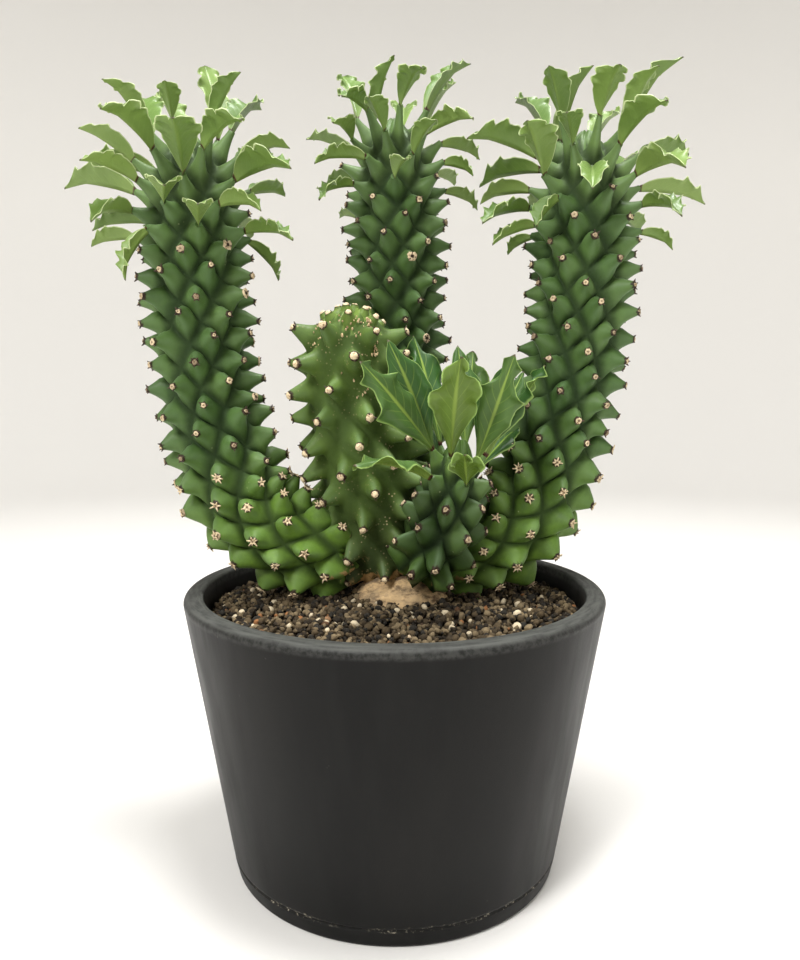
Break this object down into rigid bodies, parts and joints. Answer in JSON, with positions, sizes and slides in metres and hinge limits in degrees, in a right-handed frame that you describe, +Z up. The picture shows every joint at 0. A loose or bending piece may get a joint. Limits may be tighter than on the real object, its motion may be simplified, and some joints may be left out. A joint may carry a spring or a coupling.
{
  "type": "potted euphorbia",
  "caption": "Knobbly succulent with tall upturned stems, folded leaf rosettes, an old bare stem and a leafy side shoot, in a tapered round charcoal pot of grit.",
  "frame": {"origin": "centre of the pot's underside, on the surface it stands on", "axes": "+Z up along the pot's axis, -Y the front, +X to the right"},
  "size_m": [0.2318, 0.1527, 0.3047],
  "materials": {
    "pot_clay": "unglazed charcoal, satin, faint vertical streaks, greyer brushed rim",
    "grit": "loose brown and dark grit with a few pale grains",
    "cork": "pale tan cork, rough",
    "old_stem_skin": "olive green waxy skin with corky specks and dry tips",
    "stem_skin": "deep green waxy skin, yellower low down, cream leaf scars with dark spines",
    "leaf": "fresh green, satin, pale crisped margins",
    "shoot_leaf": "dark glossy green with a pale midrib and pale crisped margins"
  },
  "bodies": {
    "root": {"pot": "pot_clay", "potting_soil": "grit", "root_crown": "cork", "old_stem": "old_stem_skin", "stem_left": "stem_skin", "stem_right": "stem_skin", "stem_back": "stem_skin", "side_shoot": "stem_skin", "leaf_left_01": "leaf", "leaf_left_02": "leaf", "leaf_left_03": "leaf", "leaf_left_04": "leaf", "leaf_left_05": "leaf", "leaf_left_06": "leaf", "leaf_left_07": "leaf", "leaf_left_08": "leaf", "leaf_left_09": "leaf", "leaf_left_10": "leaf", "leaf_left_11": "leaf", "leaf_left_12": "leaf", "leaf_left_13": "leaf", "leaf_left_14": "leaf", "leaf_left_15": "leaf", "leaf_left_16": "leaf", "leaf_right_01": "leaf", "leaf_right_02": "leaf", "leaf_right_03": "leaf", "leaf_right_04": "leaf", "leaf_right_05": "leaf", "leaf_right_06": "leaf", "leaf_right_07": "leaf", "leaf_right_08": "leaf", "leaf_right_09": "leaf", "leaf_right_10": "leaf", "leaf_right_11": "leaf", "leaf_right_12": "leaf", "leaf_right_13": "leaf", "leaf_right_14": "leaf", "leaf_right_15": "leaf", "leaf_back_01": "leaf", "leaf_back_02": "leaf", "leaf_back_03": "leaf", "leaf_back_04": "leaf", "leaf_back_05": "leaf", "leaf_back_06": "leaf", "leaf_back_07": "leaf", "leaf_back_08": "leaf", "leaf_back_09": "leaf", "leaf_back_10": "leaf", "leaf_back_11": "leaf", "leaf_back_12": "leaf", "leaf_back_13": "leaf", "leaf_shoot_01": "shoot_leaf", "leaf_shoot_02": "shoot_leaf", "leaf_shoot_03": "shoot_leaf", "leaf_shoot_04": "shoot_leaf", "leaf_shoot_05": "shoot_leaf", "leaf_shoot_06": "shoot_leaf", "leaf_shoot_07": "shoot_leaf", "leaf_shoot_08": "shoot_leaf"}
  },
  "joints": []
}
